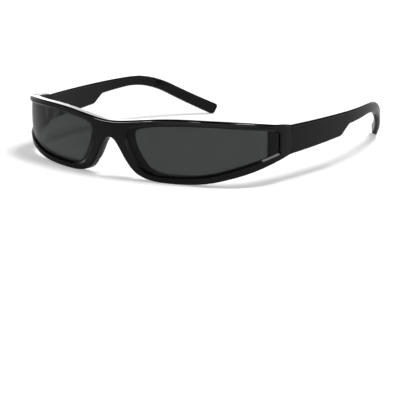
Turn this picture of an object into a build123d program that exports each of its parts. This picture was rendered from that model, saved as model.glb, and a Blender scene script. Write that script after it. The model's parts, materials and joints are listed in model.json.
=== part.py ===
from build123d import *
import math
import os

# Narrow rectangle wrap sunglasses.
# Millimetres, +Z up, +X to the wearer's left, the front looks along -Y.
# The frame stands with its temples open on its lower rims and its temple tips.

# Plan curve of the front's outer face, from the bridge to the seam of the temple
plan_radii = (110.0, 300.0, 50.0, 29.5)
plan_headings = (10.5, 15.0, 34.0, 84.5)
seam_reach = 39.0

# Front
front_height = 29.5
front_wall = 4.0
crown_radius = 80.0
crown_apex_share = 0.66
front_edge_round = 0.9
front_inner_round = 0.6
rim_bevel = 0.8

# Heights of the front's upper and lower edge, as shares of its height,
# against shares of the way from the bridge to the seam and a little beyond
top_edge_shares = (
    (0.0, 0.888), (0.11, 0.914), (0.22, 0.954), (0.33, 0.984), (0.44, 0.998),
    (0.545, 1.0), (0.655, 0.993), (0.763, 0.972), (0.873, 0.933), (0.94, 0.907),
    (1.0, 0.883), (1.08, 0.851),
)
bottom_edge_shares = (
    (0.0, 0.627), (0.022, 0.606), (0.048, 0.520), (0.083, 0.347), (0.113, 0.213),
    (0.143, 0.120), (0.177, 0.063), (0.211, 0.030), (0.268, 0.005), (0.327, 0.0),
    (0.436, 0.012), (0.545, 0.055), (0.655, 0.138), (0.763, 0.233), (0.873, 0.339),
    (0.94, 0.395), (1.0, 0.438), (1.08, 0.488),
)

# Lens, the rim opening in front of it and the groove that holds it
lens_recess = 1.0
lens_wall = 1.9
groove_depth = 0.9
lens_clearance = 0.05
nasal_corner = 2.6
brow_corner = 1.0
cheek_corner = 1.6
outer_shelf = 6.9
nose_shelf = 2.2
draw_length = 66.0
draw_near_share = 0.55
lens_middle_share = 0.5
opening_top_shares = (
    (0.106, 0.765), (0.16, 0.818), (0.26, 0.860), (0.42, 0.892), (0.56, 0.899),
    (0.70, 0.881), (0.82, 0.850), (0.918, 0.790),
)
opening_bottom_shares = (
    (0.918, 0.499), (0.80, 0.409), (0.645, 0.271), (0.495, 0.158), (0.35, 0.123),
    (0.245, 0.135), (0.19, 0.202), (0.145, 0.373), (0.115, 0.552), (0.106, 0.765),
)

# Nose pads, each bonded to the back of the rim beside the nose
pad_reach = 6.8
pad_wall = 2.2
pad_low = 7.0
pad_high = 17.2
pad_splay = 32.0
pad_setback = 0.4
pad_bond = 0.02
pad_station_shares = (-0.98, -0.8, -0.45, 0.0, 0.45, 0.8, 0.98)

# Temples, seen from above: they leave the front with a flare, then curve inward in two arcs
temple_wall = 4.0
middle_wall = 3.8
tip_wall = 2.6
temple_flare = 9.4
blade_radius = 285.0
blade_run = 42.8
tip_radius = 118.7
tip_turn = 36.8

# Temples, seen from the side
temple_top = 26.05
temple_low = 12.95
step_low = (37.4, 15.45)
step_high = (44.2, 19.95)
bend_top = (80.3, 26.45)
bend_low = (77.4, 22.35)
tip_reach = 114.8
tip_height = 5.9
tip_drop = 0.19
step_round = 4.5
bend_round = 55.0
tip_corner = 1.7
temple_edge_round = 0.9

# Core wire in a bore along each temple
core_wall = 1.2
core_height = 1.6
core_clearance = 0.03
core_start = 0.2
core_end_gap = 9.0

# Hinges, with the pin just inside the inner face
seam_gap = 0.05
hinge_height = 18.0
pin_inset = 0.9
leaf_length = 7.0
leaf_wall = 1.0
leaf_let_in = 0.5
leaf_clearance = 0.03
knuckle_radius = 1.4
knuckle_gap = 0.1
outer_knuckle = 2.2
centre_knuckle = 2.6
barrel_relief = 0.35
pin_radius = 0.55
pin_running = 0.03
pin_head_radius = 1.1
pin_head_height = 0.5
slot_width = 0.3
slot_depth = 0.25
fixing_radius = 0.45
fixing_head_radius = 0.9
fixing_head_height = 0.45
fixing_length = 2.3
fixing_spacing = 4.4
fixing_setback = 4.0
fixing_clearance = 0.03

# How far back the front leans when the sunglasses stand on their rims and temple tips
rest_lean = 0.5

overrun = 3.0
edge_tolerance = 0.02
sharp_angle = 20.0
sample_shares = (0.1, 0.5, 0.9)
upright_share = 0.3


def arc_table():
    """Start point, centre, radius and headings of each arc of the plan curve."""
    x, y, start = 0.0, 0.0, 0.0
    table = []
    for radius, end_deg in zip(plan_radii, plan_headings):
        end = math.radians(end_deg)
        centre = (x - radius * math.sin(start), y + radius * math.cos(start))
        table.append((centre, radius, start, end))
        x = centre[0] + radius * math.sin(end)
        y = centre[1] - radius * math.cos(end)
        start = end
    return table, (x, y), start


arcs, arc_end, end_heading = arc_table()
straight_run = (seam_reach - arc_end[1]) / math.sin(end_heading)
seam_x = arc_end[0] + straight_run * math.cos(end_heading)
seam_length = sum(r * (b - a) for _, r, a, b in arcs) + straight_run


def plan_point(length):
    """Point and heading of the plan curve at a signed length from the bridge."""
    side = -1.0 if length < 0 else 1.0
    left = abs(length)
    for centre, radius, start, end in arcs:
        run = radius * (end - start)
        if left <= run:
            heading = start + left / radius
            x = centre[0] + radius * math.sin(heading)
            y = centre[1] - radius * math.cos(heading)
            return side * x, y, side * heading
        left -= run
    x = arc_end[0] + left * math.cos(end_heading)
    y = arc_end[1] + left * math.sin(end_heading)
    return side * x, y, side * end_heading


def crown(z):
    """How far the crowned outer face falls back at a height."""
    rise = z - crown_apex_share * front_height
    return crown_radius - math.sqrt(crown_radius**2 - rise**2)


def front_point(length, depth, z):
    """Point at a depth square to the plan curve, with no crown."""
    x, y, heading = plan_point(length)
    return Vector(x - depth * math.sin(heading), y + depth * math.cos(heading), z)


def depth_of(point):
    """Depth of a point under the crowned outer face."""
    x, y = abs(point.X), point.Y
    for centre, radius, start, end in arcs:
        heading = math.atan2(x - centre[0], centre[1] - y)
        if start <= heading <= end:
            return radius - math.hypot(x - centre[0], y - centre[1]) - crown(point.Z)
    across = (x - arc_end[0]) * math.sin(end_heading) - (y - arc_end[1]) * math.cos(end_heading)
    return -across - crown(point.Z)


def band(first, last):
    """Layer of the front between two depths, from seam to seam."""
    low, high = -overrun, front_height + overrun
    middle = (low + high) / 2

    def profile(length):
        outer = [front_point(length, first + crown(z), z) for z in (low, middle, high)]
        inner = [front_point(length, last + crown(z), z) for z in (high, middle, low)]
        edges = [
            ThreePointArc(*outer), Line(outer[2], inner[0]),
            ThreePointArc(*inner), Line(inner[2], outer[0]),
        ]
        return Face(Wire(edges))

    pieces = []
    travelled = 0.0
    for centre, radius, start, end in arcs:
        axis = Axis((centre[0], centre[1], 0), (0, 0, 1))
        pieces.append(revolve(profile(travelled), axis, math.degrees(end - start)))
        travelled += radius * (end - start)
    along = Vector(math.cos(end_heading), math.sin(end_heading), 0)
    pieces.append(extrude(profile(travelled), straight_run + overrun, dir=along))
    half = pieces[0].fuse(*pieces[1:])
    return half


def edge_cutter(shares, far_z):
    """Solid beyond the front's upper or lower edge, lofted from seam to seam."""
    stations = [(-s, h) for s, h in reversed(shares[1:])] + list(shares)
    sections = []
    for share, height in stations:
        length, z = share * seam_length, height * front_height
        corners = [
            front_point(length, -overrun, z), front_point(length, front_wall + 2 * overrun, z),
            front_point(length, front_wall + 2 * overrun, far_z), front_point(length, -overrun, far_z),
        ]
        sections.append(Face(Wire.make_polygon(corners, close=True)))
    return loft(sections)


def sharp_edges(shape, keep):
    """Edges whose sample points all pass a test and whose two faces meet at an angle."""
    found = []
    faces = [(face, face.edges()) for face in shape.faces()]
    for edge in shape.edges():
        places = [edge.position_at(share) for share in sample_shares]
        if not all(keep(place) for place in places):
            continue
        sides = [face for face, edges in faces if any(edge.is_same(e) for e in edges)]
        if len(sides) != 2:
            continue
        if sides[0].normal_at(places[1]).get_angle(sides[1].normal_at(places[1])) > sharp_angle:
            found.append(edge)
    return found


def edges_at(shape, depth):
    """Sharp edges that lie at a depth under the outer face, off the seam plane."""
    last = seam_reach - seam_gap

    def keep(place):
        return abs(depth_of(place) - depth) < edge_tolerance

    return [e for e in sharp_edges(shape, keep) if e.position_at(0.5).Y < last or abs(
        e.position_at(0.1).Y - e.position_at(0.9).Y) > edge_tolerance]


def front_blank():
    """Crowned band with its outline cut, trimmed at both seams and its edges rounded."""
    half = band(0.0, front_wall)
    blank = half.fuse(mirror(half, about=Plane.YZ))
    trim = Box(4 * seam_x, 2 * seam_x, 4 * front_height, align=(Align.CENTER, Align.MIN, Align.CENTER))
    blank -= Pos(0, seam_reach - seam_gap / 2, 0) * trim
    blank -= edge_cutter(top_edge_shares, front_height + 2 * overrun)
    blank -= edge_cutter(bottom_edge_shares, -2 * overrun)
    blank = blank.fillet(front_inner_round, edges_at(blank, front_wall))
    return blank.fillet(front_edge_round, edges_at(blank, 0.0))


def draw_frame():
    """Apex and axes of the cone of draw lines that shape one lens opening."""
    z = front_height / 2
    heading = plan_point(lens_middle_share * seam_length)[2]
    outward = Vector(math.sin(heading), -math.cos(heading), 0)
    along = Vector(math.cos(heading), math.sin(heading), 0)
    middle = front_point(lens_middle_share * seam_length, lens_recess + crown(z), z)
    return middle - outward * draw_length, along, outward


def draw_place(length_share, height_share):
    """Where a point of the opening falls in the flat draw plane."""
    apex, along, outward = draw_frame()
    length, z = length_share * seam_length, height_share * front_height
    reach = front_point(length, lens_recess + crown(z), z) - apex
    size = draw_length / reach.dot(outward)
    return Vector(reach.dot(along) * size, reach.Z * size)


def opening_face():
    """Flat outline of the rim opening in the draw plane."""
    top = [draw_place(*share) for share in opening_top_shares]
    bottom = [draw_place(*share) for share in opening_bottom_shares]
    face = Face(Wire([Spline(*top), Line(top[-1], bottom[0]), Spline(*bottom)]))
    corners = {0: (top[0], nasal_corner), 1: (top[-1], brow_corner), 2: (bottom[0], cheek_corner)}
    for place, radius in corners.values():
        corner = face.vertices().sort_by_distance(place)[0]
        face = face.fillet_2d(radius, [corner])
    return face


def draw_solid(face):
    """Solid of the draw lines through a flat outline."""
    apex, along, outward = draw_frame()
    ends = []
    for reach in (draw_near_share * draw_length, draw_length + 2 * overrun):
        flat = scale(face, by=reach / draw_length)
        ends.append(Plane(apex + outward * reach, x_dir=along, z_dir=outward).location * flat)
    return loft(ends, ruled=True)


def grown(face, amount):
    """Flat outline grown by a margin."""
    return offset(face, amount).faces()[0]


def rear_face(opening):
    """Opening at the back, which leaves a shelf behind the lens at either end."""
    stop = draw_place(opening_top_shares[-1][0] - outer_shelf / seam_length, 0.5).X
    size = 2 * draw_length
    keep = Pos(stop - size / 2, 0) * Rectangle(size, size)
    return (opening & keep & (Pos(nose_shelf, 0) * opening)).faces()[0]


def left_lens(opening):
    layer = band(lens_recess, lens_recess + lens_wall)
    return layer & draw_solid(grown(opening, groove_depth - lens_clearance))


def rim_cutters(opening):
    """Cutters of the left rim: the opening with the rear window, and the lens groove."""
    seat = lens_recess + lens_wall + lens_clearance
    mouth = band(-overrun, seat) & draw_solid(opening)
    window = draw_solid(rear_face(opening))
    groove = band(lens_recess - lens_clearance, seat) & draw_solid(grown(opening, groove_depth))
    return [mouth, window], groove


def flank_length(z):
    """Length along the plan curve of the edge beside the nose at a height."""
    share = z / front_height
    steps = list(zip(bottom_edge_shares, bottom_edge_shares[1:]))
    for (near, high), (far, low) in steps:
        if high >= share >= low and high > low:
            return seam_length * (near + (far - near) * (high - share) / (high - low))
    return 0.0


def left_pad():
    """Nose pad: a fin behind the rim that splays outward and has a round rear edge."""
    middle, half = (pad_low + pad_high) / 2, (pad_high - pad_low) / 2
    splay = math.tan(math.radians(pad_splay))
    sections = []
    for share in pad_station_shares:
        z = middle + share * half
        reach = front_wall + (pad_reach - front_wall) * math.sqrt(1 - share**2)
        base = front_wall - overrun / 2
        near = flank_length(z) + pad_setback
        end = reach - pad_wall / 2

        def at(side, depth):
            length = near + side * pad_wall + splay * (depth - front_wall)
            return front_point(length, depth + crown(z), z)

        nose = Line(at(0, base), at(0, end))
        tip = ThreePointArc(at(0, end), at(0.5, reach), at(1, end))
        back = Line(at(1, end), at(1, base))
        foot = Line(at(1, base), at(0, base))
        sections.append(Face(Wire([nose, tip, back, foot])))
    return loft(sections) - band(-overrun, front_wall + pad_bond)


def temple_place(run, depth):
    """Point of the left temple seen from above, at a run along it and a depth inward."""
    heading = math.radians(90 - temple_flare)
    centre = Vector(seam_x - blade_radius * math.sin(heading), seam_reach + blade_radius * math.cos(heading))
    if run <= blade_run:
        heading += run / blade_radius
        radius = blade_radius - depth
    else:
        heading += blade_run / blade_radius
        centre += Vector(math.sin(heading), -math.cos(heading)) * (blade_radius - tip_radius)
        heading += (run - blade_run) / tip_radius
        radius = tip_radius - depth
    return centre + Vector(math.sin(heading), -math.cos(heading)) * radius


temple_run = blade_run + tip_radius * math.radians(tip_turn)


def temple_strip(outer_depths, inner_depths, start, end):
    """Curved strip seen from above, between depths given at the seam, the middle and the end."""
    first = (start, (start + blade_run) / 2, blade_run)
    second = (blade_run, (blade_run + end) / 2, end)

    def side(depths):
        spread = (depths[0], (depths[0] + depths[1]) / 2, depths[1], (depths[1] + depths[2]) / 2, depths[2])
        blade = [temple_place(run, depth) for run, depth in zip(first, spread[:3])]
        tip = [temple_place(run, depth) for run, depth in zip(second, spread[2:])]
        return ThreePointArc(*blade), ThreePointArc(*tip), blade[0], tip[-1]

    outer, inner = side(outer_depths), side(inner_depths)
    lines = [outer[0], outer[1], Line(outer[3], inner[3]), inner[1], inner[0], Line(inner[2], outer[2])]
    return Face(Wire(lines))


def side_solid(face):
    """Prism across the left temple from an outline seen from the side."""
    plane = Plane(origin=(0, seam_reach, 0), x_dir=(0, 1, 0), z_dir=(1, 0, 0))
    return extrude(plane.location * face, 2 * seam_x, dir=(1, 0, 0))


def tip_rest():
    """Height of the temple tips over the rims' foot while the front is upright."""
    return (seam_reach + tip_reach) * math.tan(math.radians(rest_lean))


def tip_slope():
    return math.atan2(bend_low[1] - tip_rest(), tip_reach - bend_low[0])


def temple_side_face():
    """Side outline of a temple, which runs on past the cut at its tip."""
    slope, start = tip_slope(), seam_gap / 2
    far = 2 * overrun
    low = (tip_reach + far * math.cos(slope), tip_sink() - far * math.sin(slope))
    high = (low[0] + tip_height * math.sin(slope), low[1] + tip_height * math.cos(slope))
    top = FilletPolyline((start, temple_top), bend_top, high, radius=bend_round)
    bottom = FilletPolyline(
        low, bend_low, step_high, step_low, (start, temple_low),
        radius=[bend_round - tip_height, step_round, step_round],
    )
    seam = Line((start, temple_low), (start, temple_top))
    return Face(Wire([*top.edges(), Line(high, low), *bottom.edges(), seam]))


def tip_sink():
    """Height of the temple end's lower corner before rounding, which leaves the tip at its rest."""
    return tip_rest() - tip_drop - tip_corner * (math.cos(tip_slope()) + math.sin(tip_slope()) - 1)


def tip_cut():
    """Half space beyond the end of the left temple, square to its tip."""
    heading = math.radians(90 - temple_flare + tip_turn) + blade_run / blade_radius
    slope = tip_slope()
    ahead = Vector(
        math.cos(heading) * math.cos(slope), math.sin(heading) * math.cos(slope), -math.sin(slope),
    )
    end = temple_place(temple_run, tip_wall / 2)
    foot = Vector(end.X, seam_reach + tip_reach, tip_sink())
    across = Vector(-math.sin(heading), math.cos(heading), 0)
    size = 4 * tip_height
    block = Box(size, size, size, align=(Align.CENTER, Align.CENTER, Align.MIN))
    return Plane(foot, x_dir=across, z_dir=ahead).location * block


def left_temple_blank():
    """Curved strip seen from above, cut to the side outline, with all edges rounded."""
    strip = temple_strip(
        (0.0, 0.0, 0.0), (temple_wall, middle_wall, tip_wall), -overrun, temple_run + 2 * overrun,
    )
    plan = Pos(0, 0, -front_height) * extrude(strip, 3 * front_height, dir=(0, 0, 1))
    blank = (plan & side_solid(temple_side_face())) - tip_cut()
    ends = sharp_edges(blank, lambda place: place.Y > seam_reach + bend_top[0])
    along = Vector(0, 0, 1)
    short = [e for e in ends if e.length < 2 * tip_wall]
    crossing = [e for e in short if abs(e.tangent_at(0.5).dot(along)) < upright_share]
    blank = blank.fillet(tip_corner, crossing)
    rims = sharp_edges(blank, lambda place: place.Y > seam_reach + seam_gap)
    return blank.fillet(temple_edge_round, rims)


def core_band(margin, start, stop):
    """Flat wire, or with a margin its bore, along the middle of the left temple."""
    middle = (temple_wall / 2, middle_wall / 2, tip_wall / 2)
    half = core_wall / 2 + margin
    outer = tuple(depth - half for depth in middle)
    inner = tuple(depth + half for depth in middle)
    strip = temple_strip(outer, inner, -overrun, stop)
    plan = Pos(0, 0, -front_height) * extrude(strip, 3 * front_height, dir=(0, 0, 1))
    slope = tip_slope()
    bend = ((bend_top[0] + bend_low[0]) / 2, (bend_top[1] + bend_low[1]) / 2)
    rise = (step_high[1] + bend_top[1]) / 2
    end = (bend[0] + temple_run * math.cos(slope), bend[1] - temple_run * math.sin(slope))
    height = core_height / 2 + margin
    lines = []
    for side in (1, -1):
        shift = side * height
        points = [
            (start, hinge_height + shift), (step_high[0], rise + shift),
            (bend[0] + shift * math.sin(slope), bend[1] + shift * math.cos(slope)),
            (end[0] + shift * math.sin(slope), end[1] + shift * math.cos(slope)),
        ]
        radius = bend_round - tip_height / 2 + shift
        lines.append((points, FilletPolyline(*points, radius=[bend_round / 2, radius])))
    (upper, top), (lower, low) = lines
    caps = [Line(upper[0], lower[0]), Line(upper[-1], lower[-1])]
    face = Face(Wire([*top.edges(), *low.edges(), *caps]))
    return plan & side_solid(face)


def hinge_place(turn=0.0):
    """Place of the left hinge pin, turned to lie along the front or the temple."""
    return Pos(pin_x, seam_reach, hinge_height) * Rot(0, 0, turn)


pin_x = seam_x - temple_wall - pin_inset
front_turn = math.degrees(end_heading) - 90
temple_turn = -temple_flare
barrel_height = 2 * outer_knuckle + centre_knuckle + 2 * knuckle_gap


def block(x, y, z):
    """Box between pairs of limits."""
    size = [high - low for low, high in (x, y, z)]
    return Pos(x[0], y[0], z[0]) * Box(*size, align=(Align.MIN, Align.MIN, Align.MIN))


def column(radius, low, high):
    return Pos(0, 0, low) * Cylinder(radius, high - low, align=(Align.CENTER, Align.CENTER, Align.MIN))


def across_bore(radius, start, stop, side, z):
    """Round bar along the fixing screws' direction in the hinge's own place."""
    bar = Cylinder(radius, stop - start, align=(Align.CENTER, Align.CENTER, Align.MIN))
    return Pos(start, side * fixing_setback, z) * Rot(0, 90, 0) * bar


leaf_outside = pin_inset + leaf_let_in
leaf_inside = leaf_outside - leaf_wall
fixing_heights = (-fixing_spacing / 2, fixing_spacing / 2)


def fixings(side, margin):
    """Countersunk fixing screws of one leaf, or with a margin the holes for them."""
    screws = []
    for z in fixing_heights:
        end = leaf_inside + fixing_length + margin
        shank = across_bore(fixing_radius + margin, leaf_inside, end, side, z)
        head = across_bore(fixing_head_radius + margin, leaf_inside - margin,
                           leaf_inside + fixing_head_height + margin, side, z)
        screws.append(shank + head)
    return screws


def slotted(screws, side):
    """Screws with a driver slot cut in each head."""
    done = []
    for screw, z in zip(screws, fixing_heights):
        slot = block(
            (leaf_inside - slot_depth, leaf_inside + slot_depth),
            (side * fixing_setback - slot_width / 2, side * fixing_setback + slot_width / 2),
            (z - fixing_head_radius - slot_depth, z + fixing_head_radius + slot_depth),
        )
        done.append(screw - slot)
    return done


def knuckle_spans():
    """Heights of the outer knuckles and of the centre one, from the hinge's middle."""
    half = centre_knuckle / 2
    outer = [(half + knuckle_gap, half + knuckle_gap + outer_knuckle)]
    outer.append((-outer[0][1], -outer[0][0]))
    return outer, [(-half, half)]


def leaf(side, spans):
    """Hinge leaf with its knuckles; side is -1 towards the front and 1 towards the temple."""
    half = barrel_height / 2
    clear = side * (knuckle_radius + barrel_relief)
    far = side * leaf_length
    plate = block((leaf_inside, leaf_outside), sorted((clear, far)), (-half, half))
    corners = plate.edges().filter_by(Axis.X).group_by(Axis.Y)[0 if side < 0 else -1]
    plate = fillet(corners, knuckle_radius / 2)
    for low, high in spans:
        tab = block((leaf_inside, leaf_outside), sorted((0.0, clear)), (low, high))
        plate += tab
        plate += column(knuckle_radius, low, high)
    plate -= column(pin_radius + pin_running, -half - overrun, half + overrun)
    for hole in fixings(side, fixing_clearance):
        plate -= hole
    return plate


def hinge_screw():
    """Pin of the hinge: a shank through all knuckles and a slotted head on top."""
    half = barrel_height / 2
    head = column(pin_head_radius, half, half + pin_head_height)
    slot = block(
        (-pin_head_radius - slot_depth, pin_head_radius + slot_depth),
        (-slot_width / 2, slot_width / 2),
        (half + pin_head_height - slot_depth, half + pin_head_height + slot_depth),
    )
    return column(pin_radius, -half, half) + head - slot


def hinge_pocket(side):
    """Room in the plastic for a leaf and for the barrel with its screw."""
    half = barrel_height / 2 + leaf_clearance
    room = block(
        (-overrun, leaf_outside + leaf_clearance),
        sorted((0.0, side * (leaf_length + leaf_clearance))), (-half, half),
    )
    top = barrel_height / 2 + pin_head_height + barrel_relief
    room += column(knuckle_radius + barrel_relief, -barrel_height / 2 - barrel_relief, top)
    for hole in fixings(side, fixing_clearance):
        room += hole
    return room


def build():
    """All parts of the sunglasses by name, in the frame of the plan curve."""
    parts = {}
    opening = opening_face()
    frame = front_blank()
    mouths, groove = rim_cutters(opening)
    pocket = hinge_place(front_turn) * hinge_pocket(-1)
    for side in (1, -1):
        for cutter in mouths:
            frame -= cutter if side > 0 else mirror(cutter, about=Plane.YZ)
    frame = frame.chamfer(rim_bevel, None, edges_at(frame, 0.0))
    for cutter in (groove, pocket):
        frame -= cutter
        frame -= mirror(cutter, about=Plane.YZ)
    parts["front_frame"] = frame

    temple = left_temple_blank()
    temple -= hinge_place(temple_turn) * hinge_pocket(1)
    temple -= core_band(core_clearance, 0.0, temple_run - core_end_gap + core_clearance)
    outer, centre = knuckle_spans()
    left = {
        "lens": left_lens(opening),
        "nose_pad": left_pad(),
        "temple": temple,
        "temple_core": core_band(0.0, core_start, temple_run - core_end_gap),
        "front_hinge": hinge_place(front_turn) * leaf(-1, outer),
        "temple_hinge": hinge_place(temple_turn) * leaf(1, centre),
        "hinge_screw": hinge_place() * hinge_screw(),
        "front_fixings": hinge_place(front_turn) * Compound(slotted(fixings(-1, 0.0), -1)),
        "temple_fixings": hinge_place(temple_turn) * Compound(slotted(fixings(1, 0.0), 1)),
    }
    for name, shape in left.items():
        parts["left_" + name] = shape
        parts["right_" + name] = mirror(shape, about=Plane.YZ)
    return parts


def write(parts):
    """Stand the sunglasses on their tips, centre them and write one file for each part."""
    os.makedirs("parts", exist_ok=True)
    lean = Rot(-rest_lean, 0, 0)
    boxes = [(lean * shape).bounding_box() for shape in parts.values()]
    back, front = max(box.max.Y for box in boxes), min(box.min.Y for box in boxes)
    stand = Pos(0, -(front + back) / 2, -min(box.min.Z for box in boxes)) * lean
    for name, shape in parts.items():
        export_step(stand * shape, f"parts/{name}.step")
    print("hinge pin", (stand * hinge_place()).position, "length", back - front)


write(build())
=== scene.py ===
import json
import math

import bpy
from mathutils import Matrix, Vector


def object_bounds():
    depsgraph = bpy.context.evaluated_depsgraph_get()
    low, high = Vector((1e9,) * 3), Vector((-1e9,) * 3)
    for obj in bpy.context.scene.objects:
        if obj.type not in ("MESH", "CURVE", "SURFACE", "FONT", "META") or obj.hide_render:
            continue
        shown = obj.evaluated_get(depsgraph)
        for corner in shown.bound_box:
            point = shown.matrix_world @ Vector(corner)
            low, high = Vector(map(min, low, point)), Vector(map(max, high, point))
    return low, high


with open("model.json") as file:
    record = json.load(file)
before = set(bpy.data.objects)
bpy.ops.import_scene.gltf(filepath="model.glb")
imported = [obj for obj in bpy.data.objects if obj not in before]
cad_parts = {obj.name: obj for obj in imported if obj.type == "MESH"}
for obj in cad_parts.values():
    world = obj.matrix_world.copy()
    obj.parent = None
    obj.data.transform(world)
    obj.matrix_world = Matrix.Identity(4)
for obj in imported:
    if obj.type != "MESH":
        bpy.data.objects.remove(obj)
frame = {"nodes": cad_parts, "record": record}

CAD_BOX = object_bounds()

# Camera of the photograph: direction from the object, distance, aim, roll and lens
CAMERA_AZIMUTH = math.radians(35.38)
CAMERA_ELEVATION = math.radians(14.26)
CAMERA_DISTANCE = 0.6893
CAMERA_TARGET = Vector((-0.0056, -0.0002, -0.0271))
CAMERA_ROLL = math.radians(-0.21)
CAMERA_LENS = 124.7
CAMERA_SENSOR = 36.0
CAMERA_NEAR = 0.01

# Floor: its width, its colour for the light that it throws back, as seen, and its share in reflections
FLOOR_SIZE = 6.0
FLOOR_DIM = (0.40, 0.40, 0.40, 1.0)
FLOOR_COLOUR = (0.80, 0.80, 0.80, 1.0)
FLOOR_GLOSSY_SHARE = 0.20

# Glow of the seen floor, weak by the object, where the shadow lies, and stronger further out
GLOW_DISTANCES = (0.25, 1.20)
GLOW_LEVELS = (0.37, 0.80)

# World: even fill on the object, and a bright horizon under a dark ceiling for what shows and reflects
FILL_LEVEL = 0.44
SKY_HEIGHTS = (0.15, 0.45)
SKY_COLOURS = ((1.0, 1.0, 1.0, 1.0), (0.02, 0.02, 0.02, 1.0))
SKY_GLOSSY_SHARE = 1.0

# Key lamp: place in metres, width and power in watts
KEY_PLACE = (0.46, 0.04, 1.20)
KEY_SIZE = 0.38
KEY_POWER = 11.0

# Cards for reflections: place, width, height and power
CARDS = {
    "key_card": ((0.44, 0.04, 1.15), 0.52, 0.52, 6.0),
    "rear_card": ((-0.75, 0.95, 0.36), 0.80, 0.80, 5.0),
    "front_strip": ((-0.33, -0.91, 0.27), 0.80, 0.16, 10.0),
    "side_strip": ((0.71, -0.48, 0.67), 0.62, 0.26, 14.0),
}

# Noises: the middle over which what they drive changes, an even stretch, and the depth of relief
NOISE_MIDDLE = (0.3, 0.7)
EVEN = (1.0, 1.0, 1.0)
RELIEF_DEPTH = 0.00002

# Polished black plastic of the front and temples, and the softer one of the pads
FRAME_COLOURS = ((0.0030, 0.0030, 0.0032, 1.0), (0.0052, 0.0052, 0.0055, 1.0))
FRAME_ROUGHNESS = (0.01, 0.04)
FRAME_SPECULAR = 0.25
PAD_COLOURS = ((0.019, 0.019, 0.0195, 1.0), (0.028, 0.028, 0.0285, 1.0))
PAD_ROUGHNESS = (0.15, 0.25)
PAD_SPECULAR = 0.60

# Mottling, scuffs and moulding ripple of both plastics
MOTTLE_SCALE = 90.0
MOTTLE_DETAIL = 4.0
SCUFF_SCALE = 260.0
SCUFF_DETAIL = 8.0
SCUFF_STRETCH = (1.0, 1.0, 14.0)
SCUFF_ROUGHNESS = (0.0, 0.06)
RIPPLE_SCALE = 420.0
RIPPLE_DETAIL = 2.0
RIPPLE_STRENGTH = 0.25

# Tinted lenses
LENS_TINTS = ((0.038, 0.042, 0.040, 1.0), (0.041, 0.045, 0.043, 1.0))
LENS_ROUGHNESS = (0.0, 0.015)
LENS_IOR = 1.50
LENS_COATING = (0.42, 0.44, 0.42, 1.0)
CLOUD_SCALE = 30.0
CLOUD_DETAIL = 2.0

# Metal of hinges, screws and cores, with edges worn bright where the surface turns most
METAL_COLOURS = ((0.33, 0.325, 0.315, 1.0), (0.58, 0.57, 0.55, 1.0))
METAL_WORN = (0.80, 0.79, 0.77, 1.0)
WORN_POINTINESS = (0.52, 0.60)
BRUSH_SCALE = 900.0
BRUSH_DETAIL = 6.0
BRUSH_STRENGTH = 0.3
HINGE_ROUGHNESS = (0.28, 0.42)
HINGE_BRUSH = (1.0, 1.0, 0.1)
SCREW_ROUGHNESS = (0.22, 0.36)
CORE_ROUGHNESS = (0.30, 0.45)
CORE_BRUSH = (1.0, 0.05, 1.0)


def new_material(name):
    """Material with an empty node tree, its output and its principled shader."""
    material = bpy.data.materials.new(name)
    material.use_nodes = True
    tree = material.node_tree
    tree.nodes.clear()
    output = tree.nodes.new("ShaderNodeOutputMaterial")
    shader = tree.nodes.new("ShaderNodeBsdfPrincipled")
    tree.links.new(shader.outputs["BSDF"], output.inputs["Surface"])
    return material, tree, shader


def noise(tree, scale, detail, stretch=EVEN):
    """Noise over the object's own coordinates, which follow the piece as it moves."""
    place = tree.nodes.new("ShaderNodeTexCoord")
    mapping = tree.nodes.new("ShaderNodeMapping")
    mapping.inputs["Scale"].default_value = stretch
    texture = tree.nodes.new("ShaderNodeTexNoise")
    texture.inputs["Scale"].default_value = scale
    texture.inputs["Detail"].default_value = detail
    tree.links.new(place.outputs["Object"], mapping.inputs["Vector"])
    tree.links.new(mapping.outputs["Vector"], texture.inputs["Vector"])
    return texture.outputs["Fac"]


def ramp(tree, value, places, colours):
    """Colour that goes from the first to the second as a value goes between two places."""
    node = tree.nodes.new("ShaderNodeValToRGB")
    for element, place, colour in zip(node.color_ramp.elements, places, colours):
        element.position = place
        element.color = colour
    tree.links.new(value, node.inputs["Fac"])
    return node.outputs["Color"]


def spread(tree, value, places, numbers):
    """Number that goes from the first to the second as a value goes between two places."""
    node = tree.nodes.new("ShaderNodeMapRange")
    for name, number in zip(("From Min", "From Max", "To Min", "To Max"), (*places, *numbers)):
        node.inputs[name].default_value = number
    tree.links.new(value, node.inputs["Value"])
    return node.outputs["Result"]


def combine(tree, operation, first, second):
    """Sum, product or larger of a socket and either another socket or a number."""
    node = tree.nodes.new("ShaderNodeMath")
    node.operation = operation
    tree.links.new(first, node.inputs[0])
    if isinstance(second, float):
        node.inputs[1].default_value = second
    else:
        tree.links.new(second, node.inputs[1])
    return node.outputs["Value"]


def bump(tree, shader, height, strength):
    """Fine relief in the shader's surface."""
    node = tree.nodes.new("ShaderNodeBump")
    node.inputs["Strength"].default_value = strength
    node.inputs["Distance"].default_value = RELIEF_DEPTH
    tree.links.new(height, node.inputs["Height"])
    tree.links.new(node.outputs["Normal"], shader.inputs["Normal"])


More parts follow.
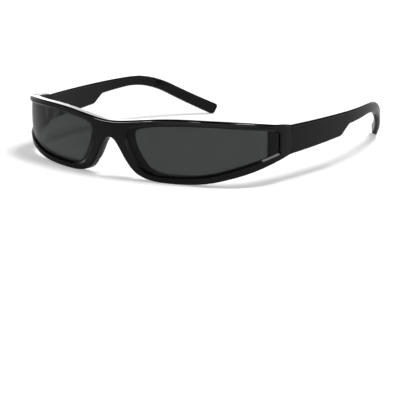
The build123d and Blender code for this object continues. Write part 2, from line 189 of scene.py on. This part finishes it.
def plastic(name, colours, roughness, specular):
    """Polished black plastic: faint mottling, fine scuffs and a slight moulding ripple."""
    material, tree, shader = new_material(name)
    mottle = noise(tree, MOTTLE_SCALE, MOTTLE_DETAIL)
    ripple = noise(tree, RIPPLE_SCALE, RIPPLE_DETAIL)
    scuffs = noise(tree, SCUFF_SCALE, SCUFF_DETAIL, SCUFF_STRETCH)
    polish = spread(tree, mottle, NOISE_MIDDLE, roughness)
    wear = spread(tree, scuffs, NOISE_MIDDLE, SCUFF_ROUGHNESS)
    tree.links.new(ramp(tree, mottle, NOISE_MIDDLE, colours), shader.inputs["Base Color"])
    tree.links.new(combine(tree, "ADD", polish, wear), shader.inputs["Roughness"])
    shader.inputs["Specular IOR Level"].default_value = specular
    bump(tree, shader, ripple, RIPPLE_STRENGTH)
    return material


def tinted_glass(name):
    """Grey lens with a coating that dims its gloss, and a slightly uneven tint and polish."""
    material, tree, shader = new_material(name)
    cloud = noise(tree, CLOUD_SCALE, CLOUD_DETAIL)
    tree.links.new(ramp(tree, cloud, NOISE_MIDDLE, LENS_TINTS), shader.inputs["Base Color"])
    tree.links.new(spread(tree, cloud, NOISE_MIDDLE, LENS_ROUGHNESS), shader.inputs["Roughness"])
    shader.inputs["IOR"].default_value = LENS_IOR
    shader.inputs["Specular Tint"].default_value = LENS_COATING
    shader.inputs["Transmission Weight"].default_value = 1.0
    return material


def brushed_metal(name, roughness, stretch=EVEN):
    """Metal with brush lines, uneven tone and edges worn bright."""
    material, tree, shader = new_material(name)
    brush = noise(tree, BRUSH_SCALE, BRUSH_DETAIL, stretch)
    geometry = tree.nodes.new("ShaderNodeNewGeometry")
    edges = spread(tree, geometry.outputs["Pointiness"], WORN_POINTINESS, (0.0, 1.0))
    tone = tree.nodes.new("ShaderNodeMix")
    tone.data_type = "RGBA"
    tone.inputs["B"].default_value = METAL_WORN
    tree.links.new(edges, tone.inputs["Factor"])
    tree.links.new(ramp(tree, brush, NOISE_MIDDLE, METAL_COLOURS), tone.inputs["A"])
    tree.links.new(tone.outputs["Result"], shader.inputs["Base Color"])
    tree.links.new(spread(tree, brush, NOISE_MIDDLE, roughness), shader.inputs["Roughness"])
    shader.inputs["Metallic"].default_value = 1.0
    bump(tree, shader, brush, BRUSH_STRENGTH)
    return material


def dress():
    """Give every CAD node the material of its slot."""
    finishes = {
        "frame_black": plastic("frame_black_gloss", FRAME_COLOURS, FRAME_ROUGHNESS, FRAME_SPECULAR),
        "pad_black": plastic("pad_black_soft", PAD_COLOURS, PAD_ROUGHNESS, PAD_SPECULAR),
        "lens_tint": tinted_glass("lens_grey_tint"),
        "hinge_metal": brushed_metal("hinge_brushed", HINGE_ROUGHNESS, HINGE_BRUSH),
        "screw_metal": brushed_metal("screw_turned", SCREW_ROUGHNESS),
        "core_metal": brushed_metal("core_drawn", CORE_ROUGHNESS, CORE_BRUSH),
    }
    slots = {part["node"]: part["material_slot"] for part in frame["record"]["subparts"]}
    for name, node in frame["nodes"].items():
        node.data.materials.clear()
        node.data.materials.append(finishes[slots[name]])


def background_rays(tree, glossy_share):
    """One for camera and transmission rays, a share for glossy ones and zero for the rest."""
    path = tree.nodes.new("ShaderNodeLightPath")
    straight = combine(tree, "MAXIMUM", path.outputs["Is Camera Ray"], path.outputs["Is Transmission Ray"])
    mirrored = combine(tree, "MULTIPLY", path.outputs["Is Glossy Ray"], glossy_share)
    return combine(tree, "MAXIMUM", straight, mirrored)


def floor_glow(tree, seen):
    """Strength of the floor's glow for the rays that see it, rising away from the object."""
    place = tree.nodes.new("ShaderNodeTexCoord")
    distance = tree.nodes.new("ShaderNodeVectorMath")
    distance.operation = "LENGTH"
    tree.links.new(place.outputs["Object"], distance.inputs[0])
    level = spread(tree, distance.outputs["Value"], GLOW_DISTANCES, GLOW_LEVELS)
    return combine(tree, "MULTIPLY", seen, level)


def floor_material():
    """Matt floor that keeps the shadow and, where it is seen, glows up to white."""
    material = bpy.data.materials.new("studio_floor")
    material.use_nodes = True
    tree = material.node_tree
    tree.nodes.clear()
    output = tree.nodes.new("ShaderNodeOutputMaterial")
    diffuse = tree.nodes.new("ShaderNodeBsdfDiffuse")
    shade = tree.nodes.new("ShaderNodeMix")
    shade.data_type = "RGBA"
    shade.inputs["A"].default_value = FLOOR_DIM
    shade.inputs["B"].default_value = FLOOR_COLOUR
    glow = tree.nodes.new("ShaderNodeEmission")
    total = tree.nodes.new("ShaderNodeAddShader")
    seen = background_rays(tree, FLOOR_GLOSSY_SHARE)
    tree.links.new(seen, shade.inputs["Factor"])
    tree.links.new(shade.outputs["Result"], diffuse.inputs["Color"])
    tree.links.new(floor_glow(tree, seen), glow.inputs["Strength"])
    tree.links.new(diffuse.outputs["BSDF"], total.inputs[0])
    tree.links.new(glow.outputs["Emission"], total.inputs[1])
    tree.links.new(total.outputs["Shader"], output.inputs["Surface"])
    return material


def make_floor():
    """Square floor at the lowest point of the object."""
    half = FLOOR_SIZE / 2
    low = CAD_BOX[0][2]
    mesh = bpy.data.meshes.new("floor")
    corners = [(-half, -half, low), (half, -half, low), (half, half, low), (-half, half, low)]
    mesh.from_pydata(corners, [], [(0, 1, 2, 3)])
    floor = bpy.data.objects.new("floor", mesh)
    bpy.context.scene.collection.objects.link(floor)
    mesh.materials.append(floor_material())


def make_world():
    """White horizon and dark ceiling for what shows and reflects, an even fill for the rest."""
    world = bpy.data.worlds.new("studio")
    bpy.context.scene.world = world
    world.use_nodes = True
    tree = world.node_tree
    tree.nodes.clear()
    output = tree.nodes.new("ShaderNodeOutputWorld")
    shown = tree.nodes.new("ShaderNodeBackground")
    fill = tree.nodes.new("ShaderNodeBackground")
    fill.inputs["Strength"].default_value = FILL_LEVEL
    mix = tree.nodes.new("ShaderNodeMixShader")
    place = tree.nodes.new("ShaderNodeTexCoord")
    split = tree.nodes.new("ShaderNodeSeparateXYZ")
    tree.links.new(place.outputs["Generated"], split.inputs["Vector"])
    sky = ramp(tree, split.outputs["Z"], SKY_HEIGHTS, SKY_COLOURS)
    tree.links.new(sky, shown.inputs["Color"])
    tree.links.new(background_rays(tree, SKY_GLOSSY_SHARE), mix.inputs["Fac"])
    tree.links.new(fill.outputs["Background"], mix.inputs[1])
    tree.links.new(shown.outputs["Background"], mix.inputs[2])
    tree.links.new(mix.outputs["Shader"], output.inputs["Surface"])


def add_lamp(name, place, size, power):
    """Square area lamp at a place, turned to the object."""
    lamp = bpy.data.lights.new(name, "AREA")
    lamp.energy = power
    lamp.size = size
    holder = bpy.data.objects.new(name, lamp)
    bpy.context.scene.collection.objects.link(holder)
    holder.location = place
    holder.rotation_euler = (-Vector(place)).to_track_quat("-Z", "Y").to_euler()
    return holder


def add_card(name, place, width, height, power):
    """Card for reflections: it lights nothing matt, and the camera doesn't see it."""
    card = add_lamp(name, place, width, power)
    card.data.shape = "RECTANGLE"
    card.data.size_y = height
    card.visible_diffuse = False
    card.visible_camera = False


def make_lamps():
    """Key lamp that gives the light and the shadow, and cards that give the reflections."""
    key = add_lamp("key_softbox", KEY_PLACE, KEY_SIZE, KEY_POWER)
    key.visible_glossy = False
    for name, values in CARDS.items():
        add_card(name, *values)


def make_camera():
    """Camera at the photograph's place, aimed at its middle and rolled a little."""
    back = Vector((
        math.sin(CAMERA_AZIMUTH) * math.cos(CAMERA_ELEVATION),
        -math.cos(CAMERA_AZIMUTH) * math.cos(CAMERA_ELEVATION),
        math.sin(CAMERA_ELEVATION),
    ))
    data = bpy.data.cameras.new("photo_camera")
    data.lens = CAMERA_LENS
    data.sensor_width = CAMERA_SENSOR
    data.clip_start = CAMERA_NEAR
    camera = bpy.data.objects.new("photo_camera", data)
    bpy.context.scene.collection.objects.link(camera)
    aim = (-back).to_track_quat("-Z", "Y").to_matrix().to_4x4()
    roll = Matrix.Rotation(CAMERA_ROLL, 4, "Z")
    place = Matrix.Translation(CAMERA_TARGET + back * CAMERA_DISTANCE)
    camera.matrix_world = place @ aim @ roll
    bpy.context.scene.camera = camera


bpy.context.scene.view_settings.view_transform = "Standard"
dress()
make_floor()
make_world()
make_lamps()
make_camera()
